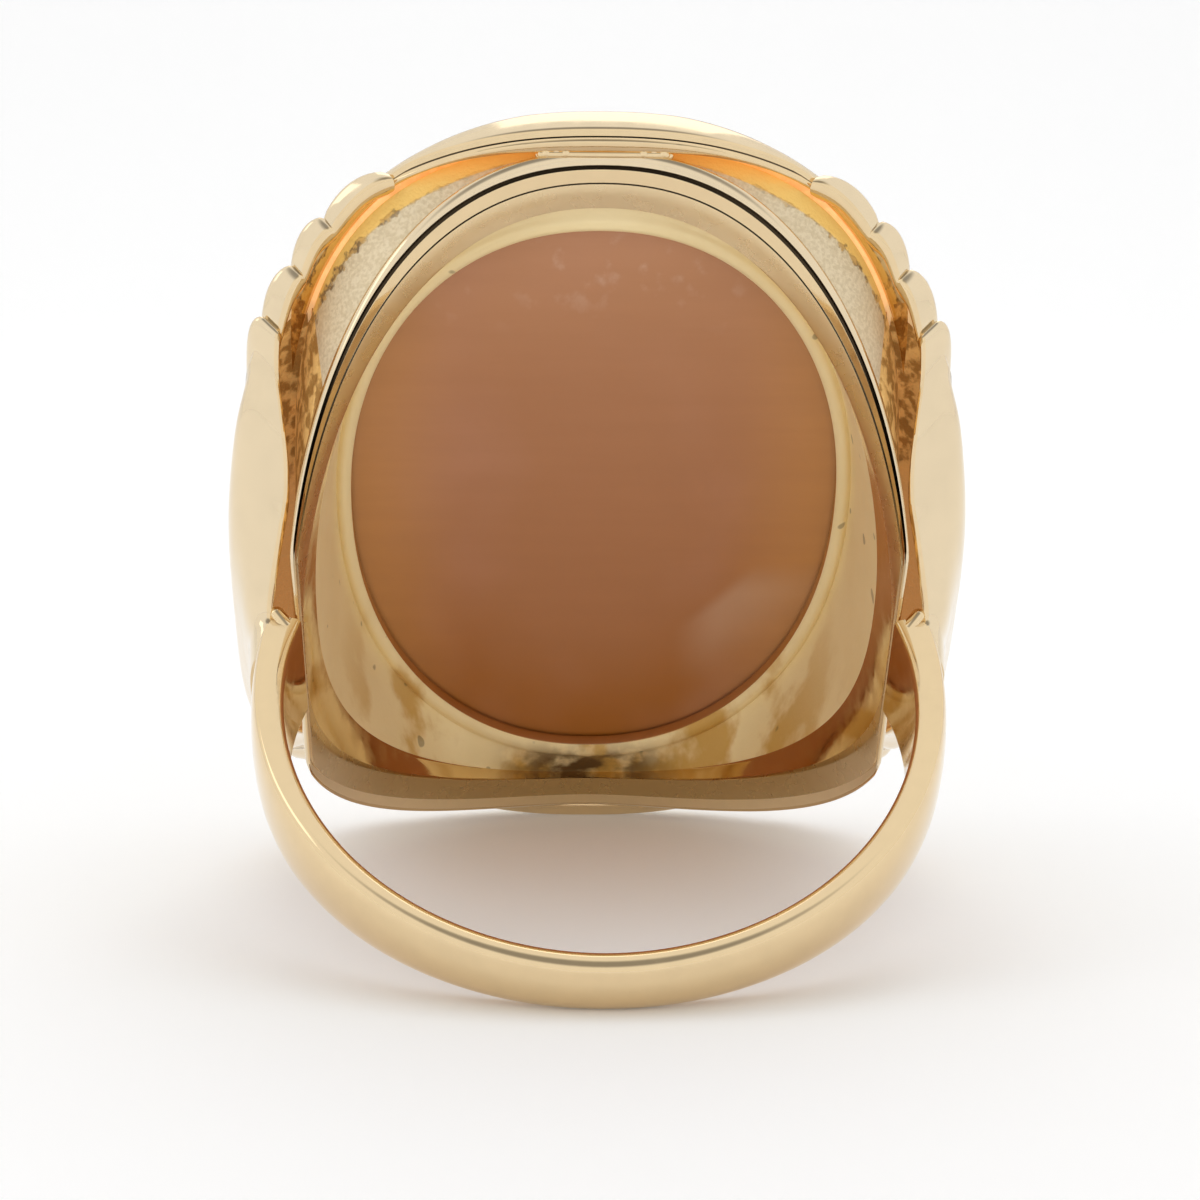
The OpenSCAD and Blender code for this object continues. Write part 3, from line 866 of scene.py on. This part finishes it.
def relief(x, y):
    return RELIEF_H * max(swell(x * 2 / CAMEO_W, y * 2 / CAMEO_W, s) for s in SPRAY + FLOWER)


CAMEO_Z = SEAT_TOP + FIT
CAMEO_SPOKES = 180
CAMEO_RINGS = 60


def cameo_ring(share, z):
    made = []
    for i in range(CAMEO_SPOKES):
        x, y = oval(CAMEO_W / 2, CAMEO_L / 2, STONE_SQUARE, -360 * i / CAMEO_SPOKES)
        made.append(Vector((x * share, y * share, z)))
    return made


def carved_ring(share):
    made = cameo_ring(share, CAMEO_Z + CAMEO_T + CAMEO_DOME * (1 - share * share))
    for p in made:
        p.z += relief(p.x, p.y)
    return made


def cameo():
    rings = [cameo_ring(0.97 * (i + 1) / 24, CAMEO_Z) for i in range(23)]
    rings.append(cameo_ring(0.97, CAMEO_Z))
    rings.append(cameo_ring(1, CAMEO_Z + 0.2))
    rings.append(cameo_ring(1, CAMEO_Z + CAMEO_T - 0.4))
    rings.append(cameo_ring(0.965, CAMEO_Z + CAMEO_T))
    rings += [carved_ring(0.955 * i / CAMEO_RINGS) for i in range(CAMEO_RINGS, 0, -1)]
    bm = bmesh.new()
    loft(bm, rings, False)
    return finished("carved_cameo", bm, [shell], node="cameo", smooth=60)


head()
room = stone_room()
shoulder("shoulder_right", 1, room)
shoulder("shoulder_left", -1, room)
bpy.data.objects.remove(room, do_unlink=True)
band()
bridge("bridge_far", 1)
bridge("bridge_near", -1)
webs()
cameo()


# Floor, light and camera

FLOOR_HALF = 0.9
SWEEP_START = 0.25
SWEEP_R = 0.25
SWEEP_TOP = 1.0


def floor():
    """A pale floor that curves up into a wall behind the ring."""
    line = [(-FLOOR_HALF, 0.0), (0.0, 0.0), (SWEEP_START, 0.0)]
    for i in range(1, 17):
        turn = 90 * i / 16
        line.append((SWEEP_START + SWEEP_R * sind(turn), SWEEP_R * (1 - cosd(turn))))
    line.append((SWEEP_START + SWEEP_R, SWEEP_TOP))
    bm = bmesh.new()
    rows = [[bm.verts.new((x, y, z)) for y, z in line] for x in (-FLOOR_HALF, FLOOR_HALF)]
    for k in range(len(line) - 1):
        bm.faces.new((rows[0][k], rows[1][k], rows[1][k + 1], rows[0][k + 1]))
    mesh = bpy.data.meshes.new("floor")
    bm.to_mesh(mesh)
    bm.free()
    mesh.shade_smooth()
    sweep = bpy.data.objects.new("floor", mesh)
    bpy.context.collection.objects.link(sweep)
    material, tree, shader = nodes_of("floor")
    shader.inputs["Base Color"].default_value = (0.96, 0.96, 0.96, 1)
    shader.inputs["Emission Color"].default_value = (1, 1, 1, 1)
    shader.inputs["Emission Strength"].default_value = 0.07
    shader.inputs["Roughness"].default_value = 0.7
    shader.inputs["Specular IOR Level"].default_value = 0.2
    mesh.materials.append(material)


def light(name, place, size, power_w, target=(0, 0, 0.01)):
    data = bpy.data.lights.new(name, "AREA")
    data.size = size
    data.energy = power_w
    lamp = bpy.data.objects.new(name, data)
    bpy.context.collection.objects.link(lamp)
    lamp.location = place
    lamp.rotation_euler = (Vector(target) - Vector(place)).to_track_quat("-Z", "Y").to_euler()


def studio():
    """A white room, a little darker high up behind the camera, where no lamp hangs."""
    world = bpy.data.worlds.new("studio")
    bpy.context.scene.world = world
    world.use_nodes = True
    tree = world.node_tree
    sky = tree.nodes["Background"]
    sky.inputs["Color"].default_value = (1, 1, 1, 1)
    place = tree.nodes.new("ShaderNodeTexCoord")
    toward = tree.nodes.new("ShaderNodeVectorMath")
    toward.operation = "DOT_PRODUCT"
    toward.inputs[1].default_value = (0, -cosd(DARK_HEIGHT), sind(DARK_HEIGHT))
    fade = tree.nodes.new("ShaderNodeMapRange")
    fade.interpolation_type = "SMOOTHSTEP"
    fade.inputs["From Min"].default_value = cosd(DARK_REACH)
    fade.inputs["From Max"].default_value = cosd(DARK_CORE)
    fade.inputs["To Min"].default_value = ROOM_LIGHT
    fade.inputs["To Max"].default_value = DARK_LIGHT
    tree.links.new(place.outputs["Generated"], toward.inputs[0])
    tree.links.new(toward.outputs["Value"], fade.inputs["Value"])
    tree.links.new(fade.outputs["Result"], sky.inputs["Strength"])


ROOM_LIGHT = 1.0
DARK_LIGHT = 0.35
DARK_HEIGHT = 54
DARK_CORE = 10
DARK_REACH = 32

floor()
studio()
light("back_softbox", (0.03, 0.2, 0.34), 0.24, 0.14)
light("left_softbox", (-0.3, -0.05, 0.2), 0.15, 0.05)

# The camera, placed in the ring's own frame: its distance, the angle between its line of sight
# and the finger, its turn about the head's axis and its roll
VIEW_DISTANCE = 75.0
VIEW_ANGLE = 46.52
VIEW_TURN = -2.4
VIEW_ROLL = 1.554
VIEW_ASIDE = (-0.028, -3.56)
LENS = 80.83


def camera():
    right_0 = Vector((cosd(VIEW_TURN), sind(VIEW_TURN), 0))
    up_0 = Vector((
        sind(VIEW_TURN) * sind(VIEW_ANGLE),
        -cosd(VIEW_TURN) * sind(VIEW_ANGLE),
        cosd(VIEW_ANGLE),
    ))
    forward = Vector((
        -sind(VIEW_TURN) * cosd(VIEW_ANGLE),
        cosd(VIEW_TURN) * cosd(VIEW_ANGLE),
        sind(VIEW_ANGLE),
    ))
    right = cosd(VIEW_ROLL) * right_0 - sind(VIEW_ROLL) * up_0
    up = sind(VIEW_ROLL) * right_0 + cosd(VIEW_ROLL) * up_0
    place = -VIEW_ASIDE[0] * right - VIEW_ASIDE[1] * up - VIEW_DISTANCE * forward
    turn = Matrix((right, up, -forward)).transposed().to_4x4()
    data = bpy.data.cameras.new("camera")
    data.sensor_width = 36
    data.lens = LENS
    data.clip_start = 0.001
    data.clip_end = 10
    view = bpy.data.objects.new("camera", data)
    bpy.context.collection.objects.link(view)
    view.matrix_world = Matrix.Translation((REST @ place) * MM) @ REST.to_3x3().to_4x4() @ turn
    bpy.context.scene.camera = view


camera()
bpy.context.scene.view_settings.view_transform = "Standard"
